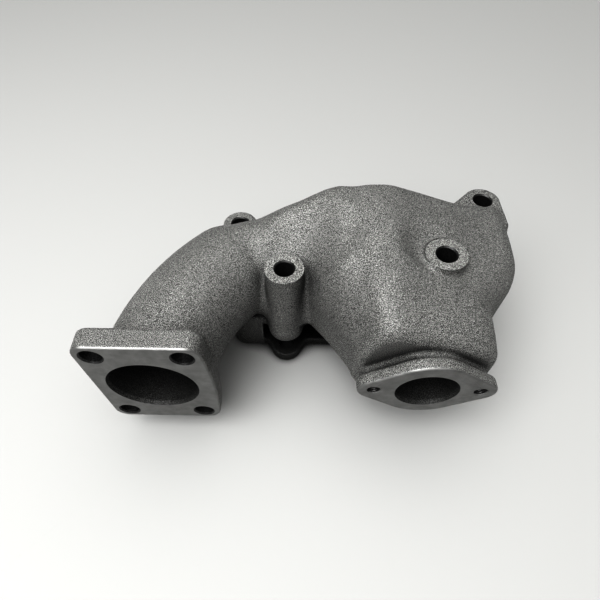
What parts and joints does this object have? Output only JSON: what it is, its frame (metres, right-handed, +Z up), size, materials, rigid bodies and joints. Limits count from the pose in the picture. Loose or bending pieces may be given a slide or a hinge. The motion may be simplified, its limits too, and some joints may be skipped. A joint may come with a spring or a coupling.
{
  "type": "exhaust manifold",
  "caption": "Cast exhaust manifold: a wide curved runner and a narrow port join over a long port in the base, clamped down through upright bolt columns.",
  "frame": {"origin": "centre of the large port's bore, on the plane of both front flange faces", "axes": "+X from the large port to the small one, +Y back from the port faces, +Z up from the base to the bolt seats"},
  "size_m": [0.2408, 0.1335, 0.1148],
  "materials": {
    "rough_iron": "shot-blasted casting",
    "machined_iron": "machined face, cast edges"
  },
  "bodies": {
    "root": {"four_bolt_flange": "machined_iron", "two_bolt_flange": "machined_iron", "base_plate": "machined_iron", "large_runner": "rough_iron", "collector_inlet": "rough_iron", "collector_dome": "rough_iron", "small_port_neck": "rough_iron", "small_port_collar": "rough_iron", "collector_deck": "rough_iron", "port_riser": "rough_iron", "left_foot": "rough_iron", "right_foot": "rough_iron", "front_bolt_column": "rough_iron", "tall_bolt_column": "rough_iron", "rear_left_lug": "rough_iron", "rear_right_lug": "rough_iron"}
  },
  "joints": []
}
